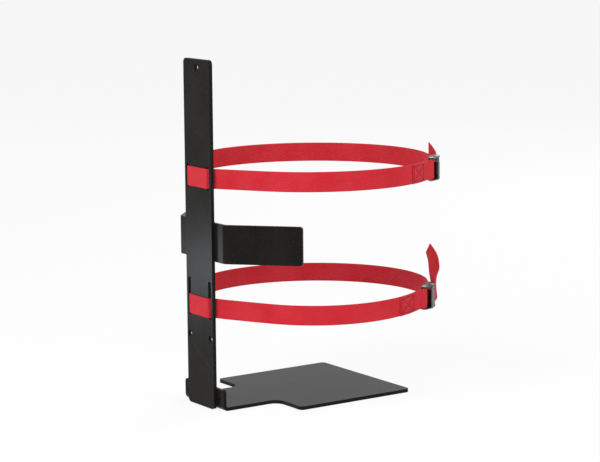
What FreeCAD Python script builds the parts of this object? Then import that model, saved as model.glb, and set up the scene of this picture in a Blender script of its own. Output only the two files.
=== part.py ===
# A rack that carries a round drinks cooler upright on a trailer rail.
# A flat back plate stands on a bent shelf bracket, a two-winged cradle bar is welded
# behind it, and two webbing straps run through slots in the plate and round the cooler,
# each drawn tight by a cam buckle.
# Frame: origin on the ground at the cooler's centre line, Z up, the back plate at -Y,
# the buckles on the +X side. Millimetres and degrees.
import FreeCAD, Part
import Sketcher
import math
import os

doc = FreeCAD.newDocument("cooler_rack")
V = FreeCAD.Vector
UP = V(0, 0, 1)

# Driving dimensions
SIZES = {
    # 3/16 in plate and bar
    "stock": 4.76,
    # back plate
    "plate_width": 63.5,
    "plate_height": 457.2,
    "plate_corner": 6.0,
    "standoff": 174.5,
    "slot_offset": 24.8,
    "slot_width": 6.4,
    "lower_slot_base": 118.5,
    "lower_slot_length": 51.0,
    "upper_slot_base": 288.5,
    "upper_slot_length": 31.0,
    "bolt_hole": 9.0,
    "bolt_spacing": 50.8,
    "bolt_height": 93.0,
    "top_hole_drop": 11.0,
    # cradle bar
    "bar_height": 50.8,
    "bar_base": 196.0,
    "bar_bend_offset": 50.0,
    "bar_bend": 5.0,
    "bar_corner": 4.0,
    "wing_length": 99.5,
    "wing_angle": 44.0,
    # shelf bracket
    "shelf_width": 203.2,
    "shelf_depth": 177.8,
    "shelf_corner": 6.0,
    "shelf_bend": 2.4,
    "neck_width": 95.0,
    "neck_fillet": 14.0,
    "flange_height": 28.0,
    "flange_corner": 4.0,
    "flange_hole": 8.0,
    "flange_hole_spacing": 76.0,
    "flange_hole_height": 13.0,
    # fillet welds
    "weld_leg": 4.0,
    "weld_run": 52.0,
    # webbing
    "web_width": 26.0,
    "web_thickness": 1.6,
    "web_gap": 0.3,
    "strap_lift": 2.5,
    # from the plate's inner face to the cooler's side, at each strap
    "upper_hoop_gap": 16.0,
    "lower_hoop_gap": 19.5,
    "slot_turn": 1.6,
    "slot_exit_turn": 2.5,
    "slot_pass_angle": 62.0,
    "lap_length": 48.0,
    "lap_bite": 0.05,
    "lap_landing": 0.5,
    "kink_turn": 12.0,
    # cam buckles
    "upper_buckle_angle": 137.5,
    "lower_buckle_angle": 130.0,
    "buckle_half_length": 21.0,
    "buckle_sheet": 1.6,
    "buckle_side_gap": 0.5,
    "buckle_height": 13.8,
    "buckle_nose_height": 8.6,
    "buckle_tail_height": 8.0,
    "buckle_shoulder": 9.0,
    "buckle_corner": 3.0,
    "floor_front": 6.0,
    "loop_bar_place": 17.0,
    "loop_bar_diameter": 4.0,
    "pin_place": -3.0,
    "pin_diameter": 3.2,
    "rivet_fit": 0.02,
    "pin_fit": 0.05,
    "head_diameter": 5.6,
    "head_height": 1.0,
    "head_round": 0.35,
    "lever_side_gap": 0.3,
    "hub_radius": 3.3,
    "cam_radius": 3.9,
    "cam_throw": 2.0,
    "cam_drop": 0.4,
    "bite_gap": 0.3,
    "tooth_depth": 0.5,
    "tooth_pitch": 14.0,
    "tooth_count": 5,
    "tab_reach": 16.0,
    "tab_rise": 3.0,
    "tab_thickness": 2.0,
    "tab_round": 0.9,
    "spring_wire": 0.8,
    "spring_radius": 2.4,
    "spring_turns": 3,
    "spring_pitch": 1.04,
    "spring_room": 6.0,
    "spring_room_radius": 6.1,
    "spring_reach": 9.0,
    "spring_hook_reach": 8.0,
    "spring_fit": 0.1,
    # clearance that cutting outlines run past what they cut
    "overrun": 1.0,
}

sheet = doc.addObject("Spreadsheet::Sheet", "sizes")
for row, (alias, number) in enumerate(SIZES.items(), start=1):
    sheet.set(f"A{row}", alias)
    sheet.set(f"B{row}", str(number))
    sheet.setAlias(f"B{row}", alias)
doc.recompute()


class Measure:
    """A size that knows both its number and its expression in terms of the sheet."""

    def __init__(self, text, number):
        self.text = text
        self.number = number

    def join(self, other, sign, swap=False):
        other = other if isinstance(other, Measure) else Measure(str(other), float(other))
        left, right = (other, self) if swap else (self, other)
        text = f"({left.text} {sign} {right.text})"
        a, b = left.number, right.number
        number = {"+": a + b, "-": a - b, "*": a * b}.get(sign)
        return Measure(text, a / b if number is None else number)

    def __add__(self, other):
        return self.join(other, "+")

    def __radd__(self, other):
        return self.join(other, "+", swap=True)

    def __sub__(self, other):
        return self.join(other, "-")

    def __rsub__(self, other):
        return self.join(other, "-", swap=True)

    def __mul__(self, other):
        return self.join(other, "*")

    def __rmul__(self, other):
        return self.join(other, "*", swap=True)

    def __truediv__(self, other):
        return self.join(other, "/")

    def __neg__(self):
        return self.join(-1, "*")


def m(alias):
    return Measure(f"sizes.{alias}", float(getattr(sheet, alias)))


def n(alias):
    return float(getattr(sheet, alias))


def as_measure(value):
    return value if isinstance(value, Measure) else Measure(str(value), float(value))


def bind(obj, prop, measure):
    obj.setExpression(prop, as_measure(measure).text)


# Sketch and body helpers
def new_body(label):
    body = doc.addObject("PartDesign::Body", label)
    body.Label = label
    return body


def origin_plane(body, role):
    return next(item for item in body.Origin.OriginFeatures if item.Role == role)


def new_sketch(body, name, role):
    sketch = body.newObject("Sketcher::SketchObject", f"{body.Name}_{name}")
    sketch.AttachmentSupport = [(origin_plane(body, role), "")]
    sketch.MapMode = "FlatFace"
    return sketch


def dimension(sketch, kind, where, measure):
    measure = as_measure(measure)
    number = math.radians(measure.number) if kind == "Angle" else measure.number
    at = sketch.addConstraint(Sketcher.Constraint(kind, *where, number))
    name = f"d{at}"
    sketch.renameConstraint(at, name)
    text = f"{measure.text} * 1 deg" if kind == "Angle" else measure.text
    sketch.setExpression(f"Constraints.{name}", text)


def tie(sketch, kind, *where):
    sketch.addConstraint(Sketcher.Constraint(kind, *where))


ORIGIN = (-1, 1)


def polygon(sketch, corners):
    """A closed outline whose corners are each placed from the sketch's origin."""
    corners = [(as_measure(x), as_measure(y)) for x, y in corners]
    places = [V(x.number, y.number, 0) for x, y in corners]
    first = sketch.GeometryCount
    count = len(places)
    for index, start in enumerate(places):
        sketch.addGeometry(Part.LineSegment(start, places[(index + 1) % count]), False)
    for index in range(count):
        here = first + index
        after = first + (index + 1) % count
        tie(sketch, "Coincident", here, 2, after, 1)
    for index, (x, y) in enumerate(corners):
        dimension(sketch, "DistanceX", (*ORIGIN, first + index, 1), x)
        dimension(sketch, "DistanceY", (*ORIGIN, first + index, 1), y)


def rectangle(sketch, left, bottom, right, top):
    polygon(sketch, [(left, bottom), (right, bottom), (right, top), (left, top)])


def circle(sketch, x, y, diameter):
    x, y, diameter = as_measure(x), as_measure(y), as_measure(diameter)
    shape = Part.Circle(V(x.number, y.number, 0), UP, diameter.number / 2)
    at = sketch.addGeometry(shape, False)
    dimension(sketch, "Diameter", (at,), diameter)
    dimension(sketch, "DistanceX", (*ORIGIN, at, 3), x)
    dimension(sketch, "DistanceY", (*ORIGIN, at, 3), y)


def obround(sketch, x, low, high, width):
    """An upright slot with round ends, from its lowest to its highest point."""
    x, low, high, width = (as_measure(item) for item in (x, low, high, width))
    radius = width / 2
    bottom, top, half = (low + radius), (high - radius), radius.number
    a, b = V(x.number, bottom.number, 0), V(x.number, top.number, 0)
    side = V(half, 0, 0)
    right = sketch.addGeometry(Part.LineSegment(a + side, b + side), False)
    cap = sketch.addGeometry(Part.ArcOfCircle(Part.Circle(b, UP, half), 0, math.pi), False)
    left = sketch.addGeometry(Part.LineSegment(b - side, a - side), False)
    foot = Part.ArcOfCircle(Part.Circle(a, UP, half), math.pi, 2 * math.pi)
    foot = sketch.addGeometry(foot, False)
    for one, other in ((right, cap), (cap, left), (left, foot), (foot, right)):
        tie(sketch, "Tangent", one, 2, other, 1)
    tie(sketch, "Vertical", right)
    dimension(sketch, "Radius", (cap,), radius)
    dimension(sketch, "DistanceX", (*ORIGIN, cap, 3), x)
    dimension(sketch, "DistanceY", (*ORIGIN, cap, 3), top)
    dimension(sketch, "DistanceY", (*ORIGIN, foot, 3), bottom)


def pad(body, sketch, length, midplane=False, reverse=False):
    feature = body.newObject("PartDesign::Pad", f"{sketch.Name}_pad")
    feature.Profile = sketch
    feature.Midplane = midplane
    feature.Reversed = reverse
    bind(feature, "Length", length)
    sketch.Visibility = False
    doc.recompute()
    return feature


def pocket(body, sketch, length=None, midplane=False, reverse=False):
    feature = body.newObject("PartDesign::Pocket", f"{sketch.Name}_cut")
    feature.Profile = sketch
    feature.Midplane = midplane
    feature.Reversed = reverse
    if length is None:
        feature.Type = "ThroughAll"
    else:
        bind(feature, "Length", length)
    before = feature.BaseFeature.Shape.Volume
    doc.recompute()
    if not feature.Shape.Volume < before:
        raise RuntimeError(f"{feature.Name} cuts nothing")
    return feature


def fillet(body, radius, chosen):
    """Round the edges of the body's tip that the test picks."""
    base = body.Tip
    names = [f"Edge{i}" for i, edge in enumerate(base.Shape.Edges, start=1) if chosen(edge)]
    if not names:
        raise RuntimeError(f"{body.Name}: no edge to round")
    feature = body.newObject("PartDesign::Fillet", f"{body.Name}_round{len(body.Group)}")
    feature.Base = (base, names)
    bind(feature, "Radius", radius)
    doc.recompute()
    return feature


NEAR = 0.01


def along(edge, axis):
    """Whether an edge is a straight line in the axis's direction."""
    if edge.Curve.TypeId != "Part::GeomLine":
        return False
    return edge.Curve.Direction.cross(axis).Length < NEAR


def middle(edge):
    return edge.CenterOfMass


# Back plate
def back_plate():
    body = new_body("back_plate")
    half = m("plate_width") / 2
    outline = new_sketch(body, "outline", "XZ_Plane")
    rectangle(outline, -half, 0, half, m("plate_height"))
    pad(body, outline, m("stock"))
    fillet(body, m("plate_corner"), lambda edge: along(edge, V(0, 1, 0)))
    cuts = new_sketch(body, "slots", "XZ_Plane")
    for level in ("lower", "upper"):
        base = m(f"{level}_slot_base")
        top = base + m(f"{level}_slot_length")
        for side in (-1, 1):
            obround(cuts, m("slot_offset") * side, base, top, m("slot_width"))
    for side in (-1, 1):
        circle(cuts, m("bolt_spacing") / 2 * side, m("bolt_height"), m("bolt_hole"))
    circle(cuts, 0, m("plate_height") - m("top_hole_drop"), m("bolt_hole"))
    pocket(body, cuts, m("stock"), reverse=True)
    bind(body, "Placement.Base.y", -m("standoff"))
    return body


# Cradle bar: one flat bar bent to two wings that lean on the cooler
def cradle_bar():
    body = new_body("cradle_bar")
    profile = new_sketch(body, "profile", "XY_Plane")
    turn = math.radians(n("wing_angle"))
    t, r, place = n("stock"), n("bar_bend"), n("bar_bend_offset")
    centre = V(place, t + r, 0)
    ray = V(math.sin(turn), -math.cos(turn), 0)
    wing = V(math.cos(turn), math.sin(turn), 0) * n("wing_length")
    outer, inner = centre + ray * (r + t), centre + ray * r
    start, stop = -math.pi / 2, -math.pi / 2 + turn
    pieces = [
        Part.LineSegment(V(0, 0, 0), V(place, 0, 0)),
        Part.ArcOfCircle(Part.Circle(centre, UP, r + t), start, stop),
        Part.LineSegment(outer, outer + wing),
        Part.LineSegment(outer + wing, inner + wing),
        Part.LineSegment(inner + wing, inner),
        Part.ArcOfCircle(Part.Circle(centre, UP, r), start, stop),
        Part.LineSegment(V(place, t, 0), V(0, t, 0)),
        Part.LineSegment(V(0, t, 0), V(0, 0, 0)),
    ]
    back, outer_arc, outer_wing, tip, inner_wing, inner_arc, front, cut = [
        profile.addGeometry(piece, False) for piece in pieces
    ]

    tie(profile, "Coincident", back, 1, *ORIGIN)
    tie(profile, "Horizontal", back)
    tie(profile, "Tangent", back, 2, outer_arc, 1)
    tie(profile, "Tangent", outer_arc, 2, outer_wing, 1)
    tie(profile, "Coincident", outer_wing, 2, tip, 1)
    tie(profile, "Perpendicular", outer_wing, tip)
    tie(profile, "Coincident", tip, 2, inner_wing, 1)
    tie(profile, "Tangent", inner_wing, 2, inner_arc, 2)
    tie(profile, "Tangent", inner_arc, 1, front, 1)
    tie(profile, "Coincident", inner_arc, 3, outer_arc, 3)
    tie(profile, "Coincident", front, 2, cut, 1)
    tie(profile, "Coincident", cut, 2, *ORIGIN)
    tie(profile, "Vertical", cut)
    dimension(profile, "Distance", (cut,), m("stock"))
    dimension(profile, "Radius", (inner_arc,), m("bar_bend"))
    dimension(profile, "DistanceX", (*ORIGIN, outer_arc, 3), m("bar_bend_offset"))
    dimension(profile, "Distance", (outer_wing,), m("wing_length"))
    dimension(profile, "Angle", (outer_wing,), m("wing_angle"))
    pad(body, profile, m("bar_height"))
    across = V(-math.sin(turn), math.cos(turn), 0)
    fillet(body, m("bar_corner"), lambda edge: along(edge, across))
    mirrored = body.newObject("PartDesign::Mirrored", "cradle_bar_mirror")
    mirrored.TransformMode = "Whole shape"
    mirrored.MirrorPlane = (origin_plane(body, "YZ_Plane"), [""])
    body.Tip = mirrored
    bind(body, "Placement.Base.y", -m("standoff"))
    bind(body, "Placement.Base.z", m("bar_base"))
    return body


# Shelf bracket: one plate cut to a platform with a neck, the neck's end bent up
def shelf_bracket():
    body = new_body("shelf_bracket")
    profile = new_sketch(body, "profile", "YZ_Plane")
    t, r = n("stock"), n("shelf_bend")
    back, top, front = -n("standoff"), n("flange_height"), n("shelf_depth") / 2
    centre = V(back + t + r, t + r, 0)
    start, stop = math.pi, 1.5 * math.pi
    pieces = [
        Part.LineSegment(V(back, top, 0), V(back, t + r, 0)),
        Part.ArcOfCircle(Part.Circle(centre, UP, r + t), start, stop),
        Part.LineSegment(V(centre.x, 0, 0), V(front, 0, 0)),
        Part.LineSegment(V(front, 0, 0), V(front, t, 0)),
        Part.LineSegment(V(front, t, 0), V(centre.x, t, 0)),
        Part.ArcOfCircle(Part.Circle(centre, UP, r), start, stop),
        Part.LineSegment(V(back + t, t + r, 0), V(back + t, top, 0)),
        Part.LineSegment(V(back + t, top, 0), V(back, top, 0)),
    ]
    outer, outer_arc, under, end, over, inner_arc, inner, rim = [
        profile.addGeometry(piece, False) for piece in pieces
    ]

    tie(profile, "Vertical", outer)
    tie(profile, "Tangent", outer, 2, outer_arc, 1)
    tie(profile, "Tangent", outer_arc, 2, under, 1)
    tie(profile, "Coincident", under, 2, end, 1)
    tie(profile, "Vertical", end)
    tie(profile, "Coincident", end, 2, over, 1)
    tie(profile, "Horizontal", over)
    tie(profile, "Tangent", over, 2, inner_arc, 2)
    tie(profile, "Tangent", inner_arc, 1, inner, 1)
    tie(profile, "Coincident", inner_arc, 3, outer_arc, 3)
    tie(profile, "Coincident", inner, 2, rim, 1)
    tie(profile, "Coincident", rim, 2, outer, 1)
    tie(profile, "Horizontal", rim)
    tie(profile, "Horizontal", under)
    dimension(profile, "DistanceX", (*ORIGIN, outer, 1), -m("standoff"))
    dimension(profile, "DistanceY", (*ORIGIN, outer, 1), m("flange_height"))
    dimension(profile, "DistanceY", (*ORIGIN, under, 2), 0)
    dimension(profile, "DistanceX", (*ORIGIN, under, 2), m("shelf_depth") / 2)
    dimension(profile, "Radius", (inner_arc,), m("shelf_bend"))
    dimension(profile, "Distance", (end,), m("stock"))
    pad(body, profile, m("shelf_width"), midplane=True)
    sides = new_sketch(body, "sides", "XY_Plane")
    neck, reach = m("neck_width") / 2, m("shelf_width") / 2 + m("overrun")
    far, near = -m("standoff") - m("overrun"), -m("shelf_depth") / 2
    for side in (-1, 1):
        rectangle(sides, neck * side, far, reach * side, near)
    pocket(body, sides, m("flange_height") * 2, reverse=True)
    inner_corner = V(n("neck_width") / 2, -n("shelf_depth") / 2, 0)
    outer_x = n("shelf_width") / 2

    def at_x(edge, x):
        return along(edge, UP) and abs(abs(middle(edge).x) - x) < NEAR

    fillet(body, m("neck_fillet"), lambda edge: at_x(edge, inner_corner.x)
           and abs(middle(edge).y - inner_corner.y) < NEAR)
    fillet(body, m("shelf_corner"), lambda edge: at_x(edge, outer_x))
    fillet(body, m("flange_corner"), lambda edge: along(edge, V(0, 1, 0))
           and middle(edge).z > top - NEAR)
    holes = new_sketch(body, "holes", "XZ_Plane")
    for side in (-1, 1):
        place = m("flange_hole_spacing") / 2 * side
        circle(holes, place, m("flange_hole_height"), m("flange_hole"))
    pocket(body, holes, m("standoff") + m("overrun"), reverse=True)
    return body


# Fillet welds along the cradle bar's edges and the flange's top edge
def weld_bead(name, height, quadrant):
    bead = doc.addObject("Part::Cylinder", name)
    bind(bead, "Radius", m("weld_leg"))
    bind(bead, "Height", m("weld_run"))
    bead.Angle = 90
    turn = FreeCAD.Rotation(V(0, 1, 0), 90).multiply(FreeCAD.Rotation(UP, quadrant))
    bead.Placement = FreeCAD.Placement(V(0, 0, 0), turn)
    bind(bead, "Placement.Base.x", -m("weld_run") / 2)
    bind(bead, "Placement.Base.y", -m("standoff"))
    bind(bead, "Placement.Base.z", height)
    return bead


def welds():
    low = weld_bead("cradle_bead_low", m("bar_base"), 0)
    high = weld_bead("cradle_bead_high", m("bar_base") + m("bar_height"), 90)
    group = doc.addObject("Part::Compound", "cradle_welds")
    group.Label = "cradle_welds"
    group.Links = [low, high]
    flange = weld_bead("bracket_weld", m("flange_height"), 90)
    flange.Label = "bracket_weld"
    return [group, flange]


# Paths of webbing, seen from above, as lines and arcs in order
def line(a, b):
    return ("line", a, b)


def arc(centre, radius, start, stop):
    """An arc from one angle to another, in radians; it may run either way."""
    return ("arc", centre, radius, start, stop)


def on_circle(centre, radius, angle):
    return centre + V(math.cos(angle), math.sin(angle), 0) * radius


def rounded(corners):
    """Lines through the corners, given as point and radius, with tangent arcs between."""
    pieces = []
    here = corners[0][0]
    for index in range(1, len(corners) - 1):
        corner, radius = corners[index]
        before = (corner - corners[index - 1][0]).normalize()
        after = (corners[index + 1][0] - corner).normalize()
        turn = math.atan2(before.x * after.y - before.y * after.x, before.dot(after))
        cut = radius * math.tan(abs(turn) / 2)
        start = corner - before * cut
        side = math.copysign(1.0, turn)
        normal = V(-before.y, before.x, 0) * side
        centre = start + normal * radius
        angle = math.atan2(-normal.y, -normal.x)
        pieces += [line(here, start), arc(centre, radius, angle, angle + turn)]
        here = corner + after * cut
    pieces.append(line(here, corners[-1][0]))
    return pieces


def offset_edge(piece, shift):
    """The edge that runs beside a piece of path, to its left by the shift."""
    if piece[0] == "line":
        a, b = piece[1], piece[2]
        ahead = (b - a).normalize()
        left = V(-ahead.y, ahead.x, 0) * shift
        return Part.LineSegment(a + left, b + left).toShape()
    centre, radius, start, stop = piece[1:]
    if stop > start:
        radius = radius - shift
    else:
        radius = radius + shift
    points = [on_circle(centre, radius, start + (stop - start) * f) for f in (0, 0.5, 1)]
    return Part.Arc(*points).toShape()


def ribbon(path, thickness, width, base):
    """Webbing of a given thickness along a path, standing on edge from a base height."""
    half = thickness / 2
    left = [offset_edge(piece, half) for piece in path]
    right = [offset_edge(piece, -half) for piece in path]
    start = Part.LineSegment(right[0].Vertexes[0].Point, left[0].Vertexes[0].Point).toShape()
    end = Part.LineSegment(left[-1].Vertexes[-1].Point, right[-1].Vertexes[-1].Point).toShape()
    face = Part.Face(Part.Wire([start, *left, end, *reversed(right)]))
    solid = face.extrude(V(0, 0, width))
    solid.translate(V(0, 0, base))
    return solid


def touch_angle(point, radius, side, centre=V(0, 0, 0)):
    """Where a line from an outside point touches a circle; side 1 is anticlockwise on."""
    away = point - centre
    bearing = math.atan2(away.y, away.x)
    spread = math.acos(radius / math.hypot(away.x, away.y))
    return bearing + side * spread


def web_level():
    """Height of the webbing's centre line above the cooler."""
    return m("web_gap") + m("web_thickness") / 2


def loop_bar_height():
    return web_level() + loop_radius_of(m("loop_bar_diameter"))


def loop_radius_of(thickness):
    """Radius of webbing turned round a bar or an edge of a given thickness."""
    return thickness / 2 + web_level()


def pivot_height():
    """Height of the lever's pin above the cooler, from the stack of layers below it."""
    top = web_top() + m("bite_gap")
    return top + m("cam_radius") + m("cam_drop")


def web_top():
    """Top of the webbing where it comes back over the buckle's floor."""
    return 3 * m("web_gap") + 2 * m("web_thickness") + m("buckle_sheet")


def buckle_frame_of(angle, hoop):
    """Placement of a buckle: x back along the webbing, y outward, z up, y = 0 on the cooler."""
    bearing = math.radians(angle)
    outward = V(math.sin(bearing), -math.cos(bearing), 0)
    return FreeCAD.Placement(outward * hoop, FreeCAD.Rotation(UP, angle + 180))


def strap_path(hoop, buckle):
    """The webbing's centre line, from the sewn loop round to the way out of the buckle."""
    t, level = n("web_thickness"), web_level().number
    radius = hoop + level
    plate_in = -n("standoff")
    plate_out = plate_in - n("stock")
    face_y = plate_out - level
    exit_y = plate_in + t / 2
    slant = (exit_y - face_y) / math.tan(math.radians(n("slot_pass_angle")))
    enter_x = n("slot_offset") - slant / 2
    leave_x = n("slot_offset") + slant / 2
    # the buckle's own points, brought into the rack's frame
    half = n("buckle_half_length")
    loop_radius = loop_radius_of(n("loop_bar_diameter")).number
    floor_radius = loop_radius_of(n("buckle_sheet")).number

    def place(x, y):
        return buckle.multVec(V(x, y, 0))

    near_kink, far_kink = place(half, level), place(-half, level)
    bar_x = n("loop_bar_place")
    loop_centre = place(bar_x, level + loop_radius)
    floor_centre = place(n("floor_front"), level + floor_radius)
    ahead = math.radians(buckle.Rotation.getYawPitchRoll()[0])
    near_touch = touch_angle(near_kink, radius, -1)
    far_touch = touch_angle(far_kink, radius, 1)
    slot_out, slot_in = V(enter_x, face_y, 0), V(leave_x, exit_y, 0)
    slot_touch = touch_angle(slot_in, radius, 1)
    mirror_out, mirror_in = V(-enter_x, face_y, 0), V(-leave_x, exit_y, 0)
    mirror_touch = touch_angle(mirror_in, radius, -1)
    hub = V(0, 0, 0)
    landing, on_touch = lap_landing(near_kink, near_touch, radius)
    leaves = touch_angle(landing, loop_radius, 1, loop_centre)
    path = [arc(loop_centre, loop_radius, leaves, ahead + 1.5 * math.pi)]
    path += rounded([
        (place(bar_x, level), 0),
        (near_kink, n("kink_turn")),
        (on_circle(hub, radius, near_touch), 0),
    ])
    path.append(arc(hub, radius, near_touch, slot_touch))
    path += rounded([
        (on_circle(hub, radius, slot_touch), 0),
        (slot_in, n("slot_exit_turn")),
        (slot_out, n("slot_turn")),
        (mirror_out, n("slot_turn")),
        (mirror_in, n("slot_exit_turn")),
        (on_circle(hub, radius, mirror_touch), 0),
    ])
    path.append(arc(hub, radius, mirror_touch, far_touch - 2 * math.pi))
    path += rounded([
        (on_circle(hub, radius, far_touch), 0),
        (far_kink, n("kink_turn")),
        (place(n("floor_front"), level), 0),
    ])
    start = ahead - math.pi / 2
    path.append(arc(floor_centre, floor_radius, start, start + math.pi))
    upper = level + 2 * floor_radius
    path.append(line(place(n("floor_front"), upper), place(-half, upper)))
    # the sewn end: from the top of the loop down on to the strap and along it
    top = on_circle(loop_centre, loop_radius, leaves)
    lap_radius = radius + lap_step()
    span = n("lap_length") / lap_radius
    lap = rounded([(top, 0), (landing, n("kink_turn")), (on_touch, 0)])
    lap.append(arc(hub, lap_radius, near_touch, near_touch - span))
    return path, lap


def lap_step():
    """How far the sewn end lies outside the strap, let into it by a hair."""
    return n("web_thickness") - n("lap_bite")


def lap_landing(near_kink, near_touch, radius):
    """Where the sewn end comes down on the strap, and where both reach the hoop."""
    touch = on_circle(V(0, 0, 0), radius, near_touch)
    on_touch = on_circle(V(0, 0, 0), radius + lap_step(), near_touch)
    return on_touch + (near_kink - touch) * n("lap_landing"), on_touch


# Loose ends. Each row places the webbing's upper edge and then its lower edge, as
# millimetres back from the buckle, out from the cooler and up, counted from the way out.
TAILS = {
    "upper": [
        ((0.0, 0.0, 0.0), (0.0, 0.0, 0.0)),
        ((7.0, 0.8, 1.2), (7.5, 1.0, 1.2)),
        ((14.0, -1.0, 4.5), (16.5, -1.6, 4.6)),
        ((21.0, -6.5, 10.0), (26.0, -8.0, 10.6)),
        ((27.0, -9.0, 16.0), (34.0, -9.5, 17.5)),
    ],
    "lower": [
        ((0.0, 0.0, 0.0), (0.0, 0.0, 0.0)),
        ((6.0, 1.5, 1.8), (7.0, 3.5, 1.8)),
        ((12.5, 2.5, 7.0), (16.0, 2.0, 7.5)),
        ((18.0, 7.0, 16.0), (26.0, -5.0, 21.0)),
        ((21.0, 7.0, 26.0), (33.0, -10.0, 33.0)),
        ((22.5, 3.2, 37.0), (39.0, -12.5, 49.0)),
        ((24.0, -6.5, 50.0), (42.5, -16.0, 60.6)),
    ],
}


def tail(buckle, rows, base):
    """Loft of the loose end through its rows."""
    half_width, half_thick = n("web_width") / 2, n("web_thickness") / 2
    far, level = -n("buckle_half_length"), web_top().number - half_thick
    centres, acrosses = [], []
    for upper_edge, lower_edge in rows:
        ends = []
        for (back, out, up), side in ((upper_edge, 1), (lower_edge, -1)):
            ends.append(V(far - back, level + out, half_width * (1 + side) + up))
        centres.append((ends[0] + ends[1]) / 2)
        acrosses.append((ends[0] - ends[1]).normalize())
    wires = []
    for index, (centre, across) in enumerate(zip(centres, acrosses)):
        ahead = V(-1, 0, 0)
        if index:
            ahead = centres[min(index + 1, len(rows) - 1)] - centres[index - 1]
        face = across.cross(ahead).normalize()
        a, b = across * half_width, face * half_thick
        corners = [centre + p for p in (a + b, -a + b, -a - b, a - b)]
        wires.append(Part.makePolygon([*corners, corners[0]]))
    solid = Part.makeLoft(wires, True, False)
    solid.Placement = FreeCAD.Placement(V(0, 0, base), FreeCAD.Rotation()).multiply(buckle)
    return solid


def strap(label, hoop, angle, base, rows):
    buckle = buckle_frame_of(angle, hoop)
    path, lap = strap_path(hoop, buckle)
    width, t = n("web_width"), n("web_thickness")
    main = ribbon(path, t, width, base)
    lap = ribbon(lap, t, width, base)
    shape = main.fuse([lap, tail(buckle, rows, base)]).removeSplitter()
    solid = shape.Solids[0]
    if len(shape.Solids) != 1:
        raise RuntimeError(f"{label} is in {len(shape.Solids)} pieces")
    feature = doc.addObject("Part::Feature", label)
    feature.Label = label
    feature.Shape = solid
    return feature


# Cam buckles
def carry(body, angle, hoop, base, offset=(0, 0, 0)):
    """Put a buckle's piece on its strap, its own zero lying at an offset in the buckle."""
    place = buckle_frame_of(angle, hoop)
    place.Base.z = base + n("web_width") / 2
    body.Placement = place.multiply(FreeCAD.Placement(V(*offset), FreeCAD.Rotation()))


def buckle_frame(label):
    """Folded sheet: a floor and two cheeks, open at the front where the webbing turns."""
    body = new_body(label)
    half = m("buckle_half_length")
    inner = m("web_width") + 2 * m("buckle_side_gap")
    outer = inner + 2 * m("buckle_sheet")
    sole = m("web_gap")
    cheek = new_sketch(body, "cheek", "XY_Plane")
    shoulder = m("buckle_shoulder")
    polygon(cheek, [
        (-half, sole), (half, sole), (half, m("buckle_nose_height")),
        (shoulder, m("buckle_height")), (-shoulder, m("buckle_height")),
        (-half, m("buckle_tail_height")),
    ])
    pad(body, cheek, outer, midplane=True)
    fillet(body, m("buckle_corner"), lambda edge: along(edge, UP)
           and middle(edge).y > sole.number + NEAR)
    under = 2 * m("web_gap") + m("web_thickness")
    over = under + m("buckle_sheet")
    room = new_sketch(body, "room", "XY_Plane")
    past, high, low = half + m("overrun"), m("buckle_height") + m("overrun"), -m("overrun")
    polygon(room, [
        (-past, low), (past, low), (past, high), (-past, high),
        (-past, over), (m("floor_front"), over), (m("floor_front"), under), (-past, under),
    ])
    pocket(body, room, inner, midplane=True)
    bores = new_sketch(body, "bores", "XY_Plane")
    for x, y, pin in (
        (m("loop_bar_place"), loop_bar_height(), m("loop_bar_diameter")),
        (m("pin_place"), pivot_height(), m("pin_diameter")),
    ):
        circle(bores, x, y, pin + 2 * m("rivet_fit"))
    pocket(body, bores, outer + m("overrun"), midplane=True)
    hook = new_sketch(body, "hook_hole", "XY_Plane")
    hook_x = m("pin_place") - m("spring_hook_reach")
    hook_y = pivot_height() - m("spring_radius")
    circle(hook, hook_x, hook_y, m("spring_wire") + 2 * m("spring_fit"))
    pocket(body, hook, outer, reverse=True)
    return body


def rivet(label, diameter):
    """A turned pin whose two bevelled heads close on the cheeks."""
    body = new_body(label)
    half = m("web_width") / 2 + m("buckle_side_gap") + m("buckle_sheet")
    top = half + m("head_height")
    radius, head = diameter / 2, m("head_diameter") / 2
    outline = new_sketch(body, "outline", "XZ_Plane")
    flat, edge = head - m("head_round"), top - m("head_round")
    polygon(outline, [
        (0, -top), (flat, -top), (head, -edge), (head, -half), (radius, -half),
        (radius, half), (head, half), (head, edge), (flat, top), (0, top),
    ])
    turned = body.newObject("PartDesign::Revolution", f"{label}_turned")
    turned.Profile = outline
    turned.ReferenceAxis = (outline, ["V_Axis"])
    turned.Angle = 360
    doc.recompute()
    return body


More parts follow.
